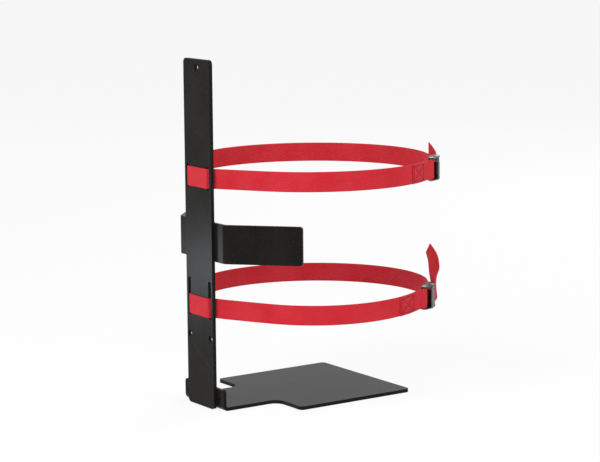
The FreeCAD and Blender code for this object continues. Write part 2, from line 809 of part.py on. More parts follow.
def cam_lever(label):
    """Toothed cam and thumb tab in one casting; its zero is the centre of the cam."""
    body = new_body(label)
    long = m("web_width") + 2 * (m("buckle_side_gap") - m("lever_side_gap"))
    pin_x, pin_y = m("cam_throw"), m("cam_drop")
    lobe = new_sketch(body, "lobe", "XY_Plane")
    circle(lobe, 0, 0, 2 * m("cam_radius"))
    pad(body, lobe, long, midplane=True)
    hub = new_sketch(body, "hub", "XY_Plane")
    circle(hub, pin_x, pin_y, 2 * m("hub_radius"))
    pad(body, hub, long, midplane=True)
    tab = new_sketch(body, "tab", "XY_Plane")
    rise, thick = m("tab_rise"), m("tab_thickness")
    tip = pin_x + m("tab_reach")
    polygon(tab, [
        (pin_x, pin_y + m("hub_radius") - thick), (tip, pin_y + rise - thick / 2),
        (tip, pin_y + rise + thick / 2), (pin_x, pin_y + m("hub_radius")),
    ])
    pad(body, tab, long, midplane=True)
    fillet(body, m("tab_round"), lambda edge: along(edge, UP)
           and middle(edge).x > tip.number - NEAR)
    bore = new_sketch(body, "bore", "XY_Plane")
    circle(bore, pin_x, pin_y, m("pin_diameter") + 2 * m("pin_fit"))
    pocket(body, bore, long + m("overrun"), midplane=True)
    tooth = new_sketch(body, "tooth", "XY_Plane")
    depth = m("tooth_depth")
    bottom, mouth = depth - m("cam_radius"), -m("cam_radius") - depth / 2
    polygon(tooth, [(0, bottom), (-depth, mouth), (depth, mouth)])
    groove = pocket(body, tooth, long + m("overrun"), midplane=True)
    teeth = body.newObject("PartDesign::PolarPattern", f"{label}_teeth")
    teeth.Originals = [groove]
    teeth.Axis = (tooth, ["N_Axis"])
    teeth.Reversed = True
    bind(teeth, "Occurrences", m("tooth_count"))
    bind(teeth, "Angle", m("tooth_pitch") * (m("tooth_count") - 1))
    body.Tip = teeth
    doc.recompute()
    room = new_sketch(body, "spring_room", "XY_Plane")
    circle(room, pin_x, pin_y, 2 * m("spring_room_radius"))
    bind(room, "AttachmentOffset.Base.z", long / 2 - m("spring_room"))
    pocket(body, room, m("spring_room") + m("overrun"), reverse=True)
    return body


WIRE_SIDES = 6
STEPS_A_TURN = 12


def wire_solid(path, thickness):
    """A wire of many-sided section along a path of points."""
    sections = []
    side = UP
    for index, point in enumerate(path):
        ahead = path[min(index + 1, len(path) - 1)] - path[max(index - 1, 0)]
        ahead.normalize()
        if ahead.cross(UP).Length > NEAR:
            side = ahead.cross(UP).normalize()
        lift = ahead.cross(side)
        ring = []
        for step in range(WIRE_SIDES):
            turn = 2 * math.pi * step / WIRE_SIDES
            reach = side * math.cos(turn) + lift * math.sin(turn)
            ring.append(point + reach * (thickness / 2))
        sections.append(Part.makePolygon([*ring, ring[0]]))
    return Part.makeLoft(sections, True, True)


def lever_spring(label):
    """Torsion spring round the pin: one leg under the tab, one hooked in the cheek."""
    wire, radius, pitch = n("spring_wire"), n("spring_radius"), n("spring_pitch")
    reach, hub, thick = n("spring_reach"), n("hub_radius"), n("tab_thickness")
    cheek = n("web_width") / 2 + n("buckle_side_gap")
    rise = (n("tab_rise") + thick / 2 - hub) / n("tab_reach")
    press = V(reach, hub - thick + rise * reach - wire / 2 - n("spring_fit"), 0)
    start = touch_angle(press, radius, -1)
    turned = 2 * math.pi * n("spring_turns") + math.pi / 2 + start
    top = cheek - wire - 2 * n("spring_fit")
    press.z = top - pitch * turned / (2 * math.pi)
    steps = round(n("spring_turns") * STEPS_A_TURN)
    path = [press]
    for step in range(steps + 1):
        share = step / steps
        height = press.z + (top - press.z) * share
        path.append(on_circle(V(0, 0, height), radius, start - turned * share))
    hook_x = -n("spring_hook_reach")
    path += [V(hook_x + wire, -radius, top), V(hook_x, -radius, top + wire)]
    path.append(V(hook_x, -radius, cheek + n("buckle_sheet")))
    feature = doc.addObject("Part::Feature", label)
    feature.Label = label
    feature.Shape = wire_solid(path, wire)
    return feature


def buckle(prefix, hoop, angle, base):
    name = f"{prefix}_buckle"
    loop_y = loop_bar_height().number
    pin_x, pin_y = n("pin_place"), pivot_height().number
    pieces = [
        (buckle_frame(f"{name}_frame"), (0, 0, 0)),
        (rivet(f"{name}_loop_bar", m("loop_bar_diameter")), (n("loop_bar_place"), loop_y, 0)),
        (rivet(f"{name}_lever_pin", m("pin_diameter")), (pin_x, pin_y, 0)),
        (cam_lever(f"{name}_cam_lever"), (pin_x - n("cam_throw"), pin_y - n("cam_drop"), 0)),
        (lever_spring(f"{name}_spring"), (pin_x, pin_y, 0)),
    ]
    for piece, offset in pieces:
        carry(piece, angle, hoop, base, offset)
    return [piece for piece, offset in pieces]


def upper_and_lower():
    made = []
    for prefix in ("upper", "lower"):
        hoop = n("standoff") - n(f"{prefix}_hoop_gap")
        angle = n(f"{prefix}_buckle_angle")
        base = n(f"{prefix}_slot_base") + n("strap_lift")
        made.append(strap(f"{prefix}_strap", hoop, angle, base, TAILS[prefix]))
        made += buckle(prefix, hoop, angle, base)
    return made


nodes = [back_plate(), cradle_bar(), shelf_bracket(), *welds(), *upper_and_lower()]
doc.recompute()

faulty = [item.Name for item in doc.Objects if {"Invalid", "Error"} & set(item.State)]
if faulty:
    raise RuntimeError(f"objects that failed: {faulty}")
for node in nodes:
    if node.Shape.isNull() or not node.Shape.isValid():
        raise RuntimeError(f"{node.Label} has no valid shape")

os.makedirs("parts", exist_ok=True)
for node in nodes:
    node.Shape.exportStep(f"parts/{node.Label}.step")
    box = node.Shape.BoundBox
    print(f"{node.Label}: {len(node.Shape.Solids)} solid, {node.Shape.Volume:.1f} mm3, "
          f"z {box.ZMin:.2f} to {box.ZMax:.2f}")
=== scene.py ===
# %% [markdown]
# A steel rack whose two webbing hoops hold something round upright.
# The steel pieces come ready measured from the CAD frame, so this lesson gives them
# softened edges, paint and welds. The webbing, its stitching and the springs are made
# here, because cloth and wire want more faces than a CAD solid should carry.

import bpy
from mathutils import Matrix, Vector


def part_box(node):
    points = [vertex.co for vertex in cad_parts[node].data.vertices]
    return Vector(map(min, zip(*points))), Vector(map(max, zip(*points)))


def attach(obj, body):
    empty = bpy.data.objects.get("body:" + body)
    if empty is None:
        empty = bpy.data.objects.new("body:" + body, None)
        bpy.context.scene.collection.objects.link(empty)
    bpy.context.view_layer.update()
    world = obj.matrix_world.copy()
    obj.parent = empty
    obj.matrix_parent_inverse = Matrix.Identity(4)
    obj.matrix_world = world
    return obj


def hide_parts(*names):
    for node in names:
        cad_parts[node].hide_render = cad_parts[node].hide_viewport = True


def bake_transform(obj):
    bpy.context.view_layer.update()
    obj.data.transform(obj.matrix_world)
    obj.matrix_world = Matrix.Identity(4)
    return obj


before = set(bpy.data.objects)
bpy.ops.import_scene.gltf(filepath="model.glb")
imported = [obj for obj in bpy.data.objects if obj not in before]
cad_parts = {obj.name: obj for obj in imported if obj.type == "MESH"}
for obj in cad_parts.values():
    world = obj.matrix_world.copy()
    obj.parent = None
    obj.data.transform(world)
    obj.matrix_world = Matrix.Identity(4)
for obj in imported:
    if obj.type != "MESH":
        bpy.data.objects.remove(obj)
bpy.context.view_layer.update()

# %% [markdown]
# Two of Blender's tools do the building: bmesh makes faces one by one, and bpy holds the
# scene. The webbing and the buckles are easier to read in millimetres, so the lesson draws
# them in millimetres and turns them into metres when the mesh is made.

# %% Tools of the lesson
import math
import random

import bmesh
import bpy
from mathutils import Matrix, Vector

MM = 0.001
UP = Vector((0, 0, 1))
BODY = "rack"

# %% [markdown]
# The camera stands where the photographer stood. A camera is three directions and a
# place: here the directions are worked out from the bearing, the height angle and a
# small tilt of the picture, and the lens from how large the rack appears.

# %% Camera
BEARING, HEIGHT_ANGLE, TILT = (math.radians(angle) for angle in (55.73, 9.09, 0.464))
DISTANCE, SHIFT_RIGHT, SHIFT_UP = 2.9027, -0.01596, 0.21578
LENS_PIXELS, PICTURE_WIDTH = 2149.1, 600
SENSOR = 36

back = Vector((
    math.sin(BEARING) * math.cos(HEIGHT_ANGLE),
    -math.cos(BEARING) * math.cos(HEIGHT_ANGLE),
    math.sin(HEIGHT_ANGLE),
))
level = Vector((math.cos(BEARING), math.sin(BEARING), 0))
rise = back.cross(level)
eye = level * SHIFT_RIGHT + UP * SHIFT_UP + back * DISTANCE
right = level * math.cos(TILT) - rise * math.sin(TILT)
top = level * math.sin(TILT) + rise * math.cos(TILT)

camera = bpy.data.objects.new("camera", bpy.data.cameras.new("camera"))
camera.data.sensor_width = SENSOR
camera.data.lens = LENS_PIXELS * SENSOR / PICTURE_WIDTH
camera.data.clip_end = 50
turn = Matrix((right, top, back)).transposed().to_4x4()
camera.matrix_world = Matrix.Translation(eye) @ turn
bpy.context.scene.collection.objects.link(camera)
bpy.context.scene.camera = camera
bpy.context.scene.view_settings.view_transform = "Standard"
print("lens", round(camera.data.lens, 1), "mm")

# %% [markdown]
# The studio is a pale floor under a white sky. Light Path tells the sky which rays ask:
# the camera and mirrors see plain white, while the light that falls on the rack is
# softer, so dark paint keeps its depth.

# %% Small tools for nodes
def link(tree, out, into):
    tree.links.new(out, into)


def add(tree, kind, **values):
    node = tree.nodes.new(kind)
    for name, value in values.items():
        setattr(node, name, value)
    return node


def math_node(tree, operation, a, b=None, clamp=False):
    """A Math node whose inputs are sockets or numbers; hands back its output."""
    node = add(tree, "ShaderNodeMath", operation=operation, use_clamp=clamp)
    for socket, value in zip(node.inputs, (a, b)):
        if value is None:
            continue
        if isinstance(value, (int, float)):
            socket.default_value = value
        else:
            link(tree, value, socket)
    return node.outputs[0]


def seen_ray(tree):
    """One for rays that the camera, a reflection or a clear piece sends."""
    path = add(tree, "ShaderNodeLightPath")
    seen = math_node(tree, "ADD", path.outputs["Is Camera Ray"], path.outputs["Is Glossy Ray"], clamp=True)
    return math_node(tree, "ADD", seen, path.outputs["Is Transmission Ray"], clamp=True)


# %% [markdown]
# The world and the floor use the same question about rays. The floor is dull white paper
# that glows a little for the camera, so it stays pale and still keeps a faint shadow.

# %% Sky and floor
SKY_SEEN, SKY_LIGHT = 1.0, 0.55
FLOOR_GLOW, PAPER_WHITE = 0.86, 0.9
FLOOR_REACH, FLOOR_DROP = 12.0, 0.0004

world = bpy.data.worlds.new("studio")
world.use_nodes = True
bpy.context.scene.world = world
sky = world.node_tree.nodes["Background"]
sky.inputs["Color"].default_value = (1, 1, 1, 1)
strength = math_node(world.node_tree, "MULTIPLY", seen_ray(world.node_tree), SKY_SEEN - SKY_LIGHT)
strength = math_node(world.node_tree, "ADD", strength, SKY_LIGHT)
link(world.node_tree, strength, sky.inputs["Strength"])

floor_mesh = bpy.data.meshes.new("studio_floor")
corners = [(x * FLOOR_REACH, y * FLOOR_REACH, 0) for x, y in ((-1, -1), (1, -1), (1, 1), (-1, 1))]
floor_mesh.from_pydata(corners, [], [(0, 1, 2, 3)])
floor = bpy.data.objects.new("studio_floor", floor_mesh)
floor.location.z = -FLOOR_DROP
bpy.context.scene.collection.objects.link(floor)
paper = bpy.data.materials.new("studio_paper")
paper.use_nodes = True
tree = paper.node_tree
tree.nodes.clear()
dull = add(tree, "ShaderNodeBsdfDiffuse")
dull.inputs["Color"].default_value = (PAPER_WHITE, PAPER_WHITE, PAPER_WHITE, 1)
glow = add(tree, "ShaderNodeEmission")
mix = add(tree, "ShaderNodeMixShader")
link(tree, math_node(tree, "MULTIPLY", seen_ray(tree), FLOOR_GLOW), mix.inputs[0])
link(tree, dull.outputs[0], mix.inputs[1])
link(tree, glow.outputs[0], mix.inputs[2])
link(tree, mix.outputs[0], add(tree, "ShaderNodeOutputMaterial").inputs["Surface"])
floor_mesh.materials.append(paper)
print("sky seen at", SKY_SEEN, "and lighting at", SKY_LIGHT)

# %% [markdown]
# Large round lamps give soft light. The key stands before the rack, the fill on the
# camera's right and the rim behind. A small fourth lamp low on the left is there for its
# reflection alone: it draws the cool sheen in the middle of the back plate.

# %% Lamps
def lamp(name, place, aim, size, power, tint=(1, 1, 1)):
    data = bpy.data.lights.new(name, "AREA")
    data.shape = "DISK"
    data.size = size
    data.energy = power
    data.color = tint
    obj = bpy.data.objects.new(name, data)
    obj.location = place
    obj.rotation_euler = (Vector(place) - Vector(aim)).to_track_quat("Z", "Y").to_euler()
    obj.visible_camera = False
    bpy.context.scene.collection.objects.link(obj)


MIDDLE = (0, 0, 0.23)
lamp("key", (0.3, -2.4, 1.9), MIDDLE, 1.4, 45)
lamp("fill", (2.5, 0.5, 1.2), MIDDLE, 1.6, 26)
lamp("rim", (-1.2, 2.2, 1.7), MIDDLE, 1.2, 18)
lamp("plate_sheen", (-0.45, -0.49, 0.084), (0, -0.18, 0.17), 0.12, 0.37, (0.84, 0.93, 1.0))
print("studio ready with", len(bpy.data.lights), "lamps")

# %% [markdown]
# Effects that several finishes share are built once, as node groups. A group has named
# sockets, like a small tool, and hands out only masks, colours and heights; the shader
# itself stays in each material.

# %% Tools for node groups
def new_group(name, inputs, outputs):
    """A node group with float inputs given by name and start value, and float outputs."""
    group = bpy.data.node_groups.new(name, "ShaderNodeTree")
    for label, value in inputs:
        socket = group.interface.new_socket(label, in_out="INPUT", socket_type="NodeSocketFloat")
        socket.default_value = value
    for label in outputs:
        group.interface.new_socket(label, in_out="OUTPUT", socket_type="NodeSocketFloat")
    return group, group.nodes.new("NodeGroupInput"), group.nodes.new("NodeGroupOutput")


def noise(tree, scale, detail=3.0, rough=0.55, source=None):
    """Noise in the piece's own space; scale may be a number or a socket."""
    place = source or add(tree, "ShaderNodeTexCoord").outputs["Object"]
    node = add(tree, "ShaderNodeTexNoise")
    link(tree, place, node.inputs["Vector"])
    if isinstance(scale, (int, float)):
        node.inputs["Scale"].default_value = scale
    else:
        link(tree, scale, node.inputs["Scale"])
    node.inputs["Detail"].default_value = detail
    node.inputs["Roughness"].default_value = rough
    return node.outputs["Fac"]


def ramp(tree, value, low, high):
    """Nought below low, one above high, smooth between."""
    node = add(tree, "ShaderNodeMapRange", interpolation_type="SMOOTHSTEP")
    link(tree, value, node.inputs["Value"])
    node.inputs["From Min"].default_value = low
    node.inputs["From Max"].default_value = high
    return node.outputs["Result"]


def mix_colour(tree, factor, a, b):
    node = add(tree, "ShaderNodeMix", data_type="RGBA")
    link(tree, factor, node.inputs["Factor"])
    for socket, value in ((node.inputs["A"], a), (node.inputs["B"], b)):
        if isinstance(value, tuple):
            socket.default_value = (*value, 1)
        else:
            link(tree, value, socket)
    return node.outputs["Result"]


def spread(tree, value, share, base):
    """A share of the value on top of a base."""
    return math_node(tree, "ADD", math_node(tree, "MULTIPLY", value, share), base)


print("noise, ramp and mixing tools ready")

# %% [markdown]
# No metal is even. "grain" gives slow clouds and fine pits, which paint, plating and cast
# metal all have at their own scales. "edge_wear" turns the marked edges of a piece into
# uneven rubbed patches, because edges are what hands and tools touch.

# %% Grain and edge wear
WEAR_CONTRAST = 9.0
grain, given, handed = new_group(
    "grain", [("Fine Scale", 900.0), ("Cloud Scale", 14.0)], ["Cloud", "Pits"])
link(grain, noise(grain, given.outputs["Cloud Scale"], 4), handed.inputs["Cloud"])
link(grain, noise(grain, given.outputs["Fine Scale"], 2), handed.inputs["Pits"])

edge_wear, given, handed = new_group("edge_wear", [("Scale", 160.0), ("Bare Above", 0.55)], ["Mask"])
edge = add(edge_wear, "ShaderNodeAttribute", attribute_name="rubbed").outputs["Fac"]
patches = noise(edge_wear, given.outputs["Scale"], 4)
over = math_node(edge_wear, "SUBTRACT", patches, given.outputs["Bare Above"])
over = math_node(edge_wear, "MULTIPLY", over, WEAR_CONTRAST, clamp=True)
link(edge_wear, math_node(edge_wear, "MULTIPLY", over, edge), handed.inputs["Mask"])
print("groups:", [group.name for group in bpy.data.node_groups])

# %% [markdown]
# Every finish starts in the same way: one Principled shader, its even values set on its
# own sockets, and the shared groups placed in front of it with values that suit the metal.

# %% Tools for finishes
def use_group(tree, group, **values):
    node = add(tree, "ShaderNodeGroup", node_tree=group)
    for name, value in values.items():
        node.inputs[name.replace("_", " ")].default_value = value
    return node.outputs


def new_material(name, **constants):
    """A material with a Principled shader whose plain values are set on its sockets."""
    material = bpy.data.materials.new(name)
    material.use_nodes = True
    shader = material.node_tree.nodes["Principled BSDF"]
    for socket, value in constants.items():
        shader.inputs[socket.replace("_", " ")].default_value = value
    return material, material.node_tree, shader


def bump(tree, shader, height, distance, strength=1.0):
    node = add(tree, "ShaderNodeBump")
    node.inputs["Strength"].default_value = strength
    node.inputs["Distance"].default_value = distance
    link(tree, height, node.inputs["Height"])
    link(tree, node.outputs["Normal"], shader.inputs["Normal"])


print("finish tools ready")

# %% [markdown]
# The bracket is painted a satin black over steel plate. Paint of this kind is a little
# cloudy, has a fine pitted skin, and rubs thin along its edges, so its colour and
# roughness both follow the grain group. The back plate also carries one long scratch.

# %% Black paint
PAINT_DARK, PAINT_LIGHT = (0.0084, 0.0073, 0.0066), (0.0125, 0.011, 0.01)
RUBBED_PAINT = (0.06, 0.057, 0.055)
SPECK_SHOWS, SCRATCH_SHOWS = 0.3, 0.55
SCRATCH_FROM, SCRATCH_TO = Vector((-0.0208, 0.083)), Vector((0.033, 0.048))
SCRATCH_WIDTH = 0.0004
PLATE_MIDDLE = -0.1769


def line_mask(tree, start, end, width):
    """One on a thin line drawn across the plate's outer face, seen along Y."""
    place = add(tree, "ShaderNodeSeparateXYZ")
    link(tree, add(tree, "ShaderNodeTexCoord").outputs["Object"], place.inputs[0])
    along = (end - start).normalized()
    across = Vector((-along.y, along.x))

    def reading(direction, origin):
        x = math_node(tree, "MULTIPLY", place.outputs["X"], direction.x)
        z = math_node(tree, "MULTIPLY", place.outputs["Z"], direction.y)
        return math_node(tree, "SUBTRACT", math_node(tree, "ADD", x, z), direction.dot(origin))

    off = math_node(tree, "ABSOLUTE", reading(across, start))
    near = math_node(tree, "SUBTRACT", 1.0, ramp(tree, off, width * 0.3, width))
    run = reading(along, start)
    half = (end - start).length / 2
    from_middle = math_node(tree, "ABSOLUTE", math_node(tree, "SUBTRACT", run, half))
    inside = math_node(tree, "LESS_THAN", from_middle, half)
    outer = math_node(tree, "LESS_THAN", place.outputs["Y"], PLATE_MIDDLE)
    return math_node(tree, "MULTIPLY", math_node(tree, "MULTIPLY", near, inside), outer)


def black_paint(name, scratched=False):
    material, tree, shader = new_material(name, Specular_IOR_Level=0.045)
    grain_out = use_group(tree, grain, Fine_Scale=700.0, Cloud_Scale=22.0)
    colour = mix_colour(tree, ramp(tree, grain_out["Cloud"], 0.3, 0.7), PAINT_DARK, PAINT_LIGHT)
    specks = math_node(tree, "MULTIPLY", ramp(tree, grain_out["Pits"], 0.6, 0.72), SPECK_SHOWS)
    colour = mix_colour(tree, specks, colour, RUBBED_PAINT)
    worn = use_group(tree, edge_wear, Scale=240.0, Bare_Above=0.5)["Mask"]
    colour = mix_colour(tree, worn, colour, RUBBED_PAINT)
    if scratched:
        scratch = line_mask(tree, SCRATCH_FROM, SCRATCH_TO, SCRATCH_WIDTH)
        mark = math_node(tree, "MULTIPLY", scratch, SCRATCH_SHOWS)
        colour = mix_colour(tree, mark, colour, RUBBED_PAINT)
    link(tree, colour, shader.inputs["Base Color"])
    rough = add(tree, "ShaderNodeMapRange")
    link(tree, grain_out["Cloud"], rough.inputs["Value"])
    rough.inputs["To Min"].default_value = 0.25
    rough.inputs["To Max"].default_value = 0.33
    link(tree, rough.outputs["Result"], shader.inputs["Roughness"])
    bump(tree, shader, grain_out["Pits"], 0.00009, 0.5)
    return material


plate_paint = black_paint("scratched_black_paint", scratched=True)
bracket_paint = black_paint("black_paint")
print("paints ready")

# %% [markdown]
# Cut steel never ends in a perfect corner. Each CAD piece is copied, its flat faces are
# joined back into whole ones, and its corners get a narrow bevel. The bevel's faces are
# marked in an attribute named "rubbed", which the edge wear group reads.

# %% Softened edges
SHARP = math.radians(28)
FLAT = math.radians(1.0)
SAME_PLACE = 0.000002
BEVEL_STEPS = 2


def put(name, mesh, material):
    """Adds a mesh to the scene as a piece of the rack."""
    obj = bpy.data.objects.new(name, mesh)
    bpy.context.scene.collection.objects.link(obj)
    mesh.materials.clear()
    mesh.materials.append(material)
    return obj


def soften(node, width, material, body=BODY):
    """A copy of a CAD node with bevelled edges, which stands in for it."""
    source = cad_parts[node]
    mesh = source.data.copy()
    bm = bmesh.new()
    bm.from_mesh(mesh)
    bmesh.ops.transform(bm, matrix=source.matrix_world, verts=bm.verts)
    bmesh.ops.remove_doubles(bm, verts=bm.verts, dist=SAME_PLACE)
    bmesh.ops.dissolve_limit(bm, angle_limit=FLAT, verts=bm.verts, edges=bm.edges)
    rubbed = bm.faces.layers.float.new("rubbed")
    sharp = [edge for edge in bm.edges if edge.is_manifold and edge.calc_face_angle() > SHARP]
    made = bmesh.ops.bevel(
        bm, geom=sharp, offset=width, segments=BEVEL_STEPS, profile=0.5,
        affect="EDGES", clamp_overlap=True, material=-1,
    )
    for face in made["faces"]:
        face[rubbed] = 1.0
    for face in bm.faces:
        face.smooth = True
    bm.normal_update()
    bm.to_mesh(mesh)
    bm.free()
    obj = put(f"{node}_dressed", mesh, material)
    evened = obj.modifiers.new("even_normals", "WEIGHTED_NORMAL")
    evened.keep_sharp = True
    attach(obj, body)
    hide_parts(node)
    print(node, "edges softened:", len(sharp))


PLATE_EDGE = 0.0005
soften("back_plate", PLATE_EDGE, plate_paint)
soften("cradle_bar", PLATE_EDGE, bracket_paint)
soften("shelf_bracket", PLATE_EDGE, bracket_paint)

# %% [markdown]
# Beads, threads and wires are all tubes: rings of points, one after another, with a skin
# over them. One tool joins the rings, and another turns the faces outwards and closes the
# mesh, so that each piece only has to say where its rings stand.

# %% Rings and skins
def skin(bm, rings):
    """A tube over rings of points, with smooth sides and a flat cap on each end."""
    for one, two in zip(rings, rings[1:]):
        for here in range(len(one)):
            after = (here + 1) % len(one)
            bm.faces.new((one[here], one[after], two[after], two[here])).smooth = True
    bm.faces.new(rings[0])
    bm.faces.new(list(reversed(rings[-1])))


def finished(bm, name):
    """The mesh of what was built, with its faces turned outwards."""
    bmesh.ops.recalc_face_normals(bm, faces=bm.faces)
    mesh = bpy.data.meshes.new(name)
    bm.to_mesh(mesh)
    bm.free()
    return mesh


print("ring tools ready")

# %% [markdown]
# A weld is a row of small overlapping pools of metal. Each bead is swept along its run
# as a quarter round whose surface rises and falls with each pool, and paint covers it.

# %% Weld beads
POOL, POOL_STATIONS = 0.0026, 6
BEAD_SIDES = 8
BEAD_FULL, BEAD_RIPPLE, BEAD_UNEVEN = 0.84, 0.12, 0.01
BEAD_SEED = 7


def bead(name, runs):
    """Rippled fillet welds in the place of the plain CAD beads."""
    bm = bmesh.new()
    rng = random.Random(BEAD_SEED)
    for low, high, upward in runs:
        length = high.x - low.x
        stations = int(length / POOL * POOL_STATIONS)
        leg = high.z - low.z
        rings = []
        for station in range(stations + 1):
            share = station / stations
            x = low.x + length * share
            wave = 0.5 + 0.5 * math.cos(2 * math.pi * share * length / POOL)
            size = leg * (BEAD_FULL + BEAD_RIPPLE * wave + rng.uniform(-BEAD_UNEVEN, BEAD_UNEVEN))
            end = min(share, 1 - share) * length / leg
            size *= math.sqrt(min(1.0, 0.25 + end))
            ring = []
            for side in range(BEAD_SIDES + 1):
                angle = math.pi / 2 * side / BEAD_SIDES
                y = low.y + size * math.cos(angle)
                z = size * math.sin(angle)
                ring.append(bm.verts.new((x, y, low.z + z if upward else high.z - z)))
            ring.append(bm.verts.new((x, low.y, low.z if upward else high.z)))
            rings.append(ring)
        skin(bm, rings)
    obj = put(name, finished(bm, name), bracket_paint)
    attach(obj, BODY)
    return obj


low, high = (Vector(corner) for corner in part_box("cradle_welds"))
bar_low, bar_high = (Vector(corner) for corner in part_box("cradle_bar"))
cradle = bead("cradle_weld_beads", [
    (low, Vector((high.x, high.y, bar_low.z)), False),
    (Vector((low.x, low.y, bar_high.z)), high, True),
])
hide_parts("cradle_welds")
low, high = (Vector(corner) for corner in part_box("bracket_weld"))
foot = bead("bracket_weld_bead", [(low, high, True)])
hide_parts("bracket_weld")
print("beads:", cradle.name, foot.name)

# %% [markdown]
# Each strap is one length of woven polyester webbing. Its route is the one in the CAD
# file: sewn back on itself round the loop bar, round half the hoop, out and in again
# through two slots of the plate, round the rest, and through the buckle to a loose end.
# The route is drawn flat, as lines and arcs, and then walked in small steps.

# %% Route of the webbing
STANDOFF, STOCK, SLOT_OFFSET = 174.5, 4.76, 24.8
WEB_WIDTH, WEB_THICK, WEB_GAP = 26.0, 1.6, 0.3
SLOT_TURN, SLOT_EXIT_TURN, SLOT_PASS = 1.6, 2.5, math.radians(62)
LAP_LENGTH, LAP_BITE, KINK_TURN = 34.0, 0.05, 12.0
BUCKLE_HALF, BUCKLE_SHEET, FLOOR_FRONT = 21.0, 1.6, 6.0
LOOP_PLACE, LOOP_BAR = 17.0, 4.0
HUB = Vector((0, 0))
WEB_LEVEL = WEB_GAP + WEB_THICK / 2


def around(centre, radius, angle):
    return centre + Vector((math.cos(angle), math.sin(angle))) * radius


def rounded(corners):
    """Straight runs through points, each point given with the radius it is turned at."""
    pieces, here = [], corners[0][0]
    for index in range(1, len(corners) - 1):
        corner, radius = corners[index]
        before = (corner - corners[index - 1][0]).normalized()
        after = (corners[index + 1][0] - corner).normalized()
        turn = math.atan2(before.x * after.y - before.y * after.x, before.dot(after))
        cut = radius * math.tan(abs(turn) / 2)
        start = corner - before * cut
        normal = Vector((-before.y, before.x)) * math.copysign(1.0, turn)
        angle = math.atan2(-normal.y, -normal.x)
        pieces += [("line", here, start), ("arc", start + normal * radius, radius, angle, angle + turn)]
        here = corner + after * cut
    return pieces + [("line", here, corners[-1][0])]


def touching(point, radius, side, centre=HUB):
    away = point - centre
    return math.atan2(away.y, away.x) + side * math.acos(radius / away.length)


def backwards(pieces):
    turned = []
    for piece in reversed(pieces):
        if piece[0] == "line":
            turned.append(("line", piece[2], piece[1]))
        else:
            turned.append(("arc", piece[1], piece[2], piece[4], piece[3]))
    return turned


print("webbing's middle line outside the hoop:", WEB_LEVEL, "mm")

# %% [markdown]
# A buckle is easiest to draw in directions of its own. One runs back along the webbing and
# one points outwards, and a small class keeps them and turns them into places on the rack.

# %% Where a buckle sits
class Buckle:
    """Where a buckle sits: x runs back along the webbing and y outwards."""

    def __init__(self, hoop, angle):
        bearing = math.radians(angle)
        self.out = Vector((math.sin(bearing), -math.cos(bearing)))
        self.along = Vector((-math.cos(bearing), -math.sin(bearing)))
        self.centre = self.out * hoop
        self.hoop = hoop
        self.ahead = math.atan2(self.along.y, self.along.x)

    def place(self, x, y):
        return self.centre + self.along * x + self.out * y


print("the hoops' middle is at", tuple(HUB))

# %% [markdown]
# The route joins the pieces in the order in which the webbing was threaded. Each bend is
# an arc that touches the runs on both sides of it, so nothing along the way has a corner.

# %% The whole route
def route(buckle):
    """The webbing's whole middle line, and the angles where its sewn end starts and stops."""
    radius = buckle.hoop + WEB_LEVEL
    face_y = -STANDOFF - STOCK - WEB_LEVEL
    exit_y = -STANDOFF + WEB_THICK / 2
    slant = (exit_y - face_y) / math.tan(SLOT_PASS)
    enter_x, leave_x = SLOT_OFFSET - slant / 2, SLOT_OFFSET + slant / 2
    loop_radius = LOOP_BAR / 2 + WEB_LEVEL
    floor_radius = BUCKLE_SHEET / 2 + WEB_LEVEL
    near_kink = buckle.place(BUCKLE_HALF, WEB_LEVEL)
    far_kink = buckle.place(-BUCKLE_HALF, WEB_LEVEL)
    loop_centre = buckle.place(LOOP_PLACE, WEB_LEVEL + loop_radius)
    floor_centre = buckle.place(FLOOR_FRONT, WEB_LEVEL + floor_radius)
    near_touch, far_touch = touching(near_kink, radius, -1), touching(far_kink, radius, 1)
    slot_in, slot_out = Vector((leave_x, exit_y)), Vector((enter_x, face_y))
    mirror_in, mirror_out = Vector((-leave_x, exit_y)), Vector((-enter_x, face_y))
    slot_touch, mirror_touch = touching(slot_in, radius, 1), touching(mirror_in, radius, -1)
    lap_radius = radius + WEB_THICK - LAP_BITE
    on_touch = around(HUB, lap_radius, near_touch)
    landing = on_touch + (near_kink - around(HUB, radius, near_touch)) * 0.5
    leaves = touching(landing, loop_radius, 1, loop_centre)
    lap_end = near_touch - LAP_LENGTH / lap_radius
    lap = rounded([(around(loop_centre, loop_radius, leaves), 0), (landing, KINK_TURN), (on_touch, 0)])
    lap.append(("arc", HUB, lap_radius, near_touch, lap_end))
    pieces = backwards(lap)
    pieces.append(("arc", loop_centre, loop_radius, leaves, buckle.ahead + 1.5 * math.pi))
    pieces += rounded([
        (buckle.place(LOOP_PLACE, WEB_LEVEL), 0), (near_kink, KINK_TURN),
        (around(HUB, radius, near_touch), 0),
    ])
    pieces.append(("arc", HUB, radius, near_touch, slot_touch))
    pieces += rounded([
        (around(HUB, radius, slot_touch), 0), (slot_in, SLOT_EXIT_TURN), (slot_out, SLOT_TURN),
        (mirror_out, SLOT_TURN), (mirror_in, SLOT_EXIT_TURN), (around(HUB, radius, mirror_touch), 0),
    ])
    pieces.append(("arc", HUB, radius, mirror_touch, far_touch - 2 * math.pi))
    pieces += rounded([
        (around(HUB, radius, far_touch), 0), (far_kink, KINK_TURN),
        (buckle.place(FLOOR_FRONT, WEB_LEVEL), 0),
    ])
    start = buckle.ahead - math.pi / 2
    pieces.append(("arc", floor_centre, floor_radius, start, start + math.pi))
    over = WEB_LEVEL + 2 * floor_radius
    pieces.append(("line", buckle.place(FLOOR_FRONT, over), buckle.place(-BUCKLE_HALF, over)))
    return pieces, near_touch, lap_end, lap_radius


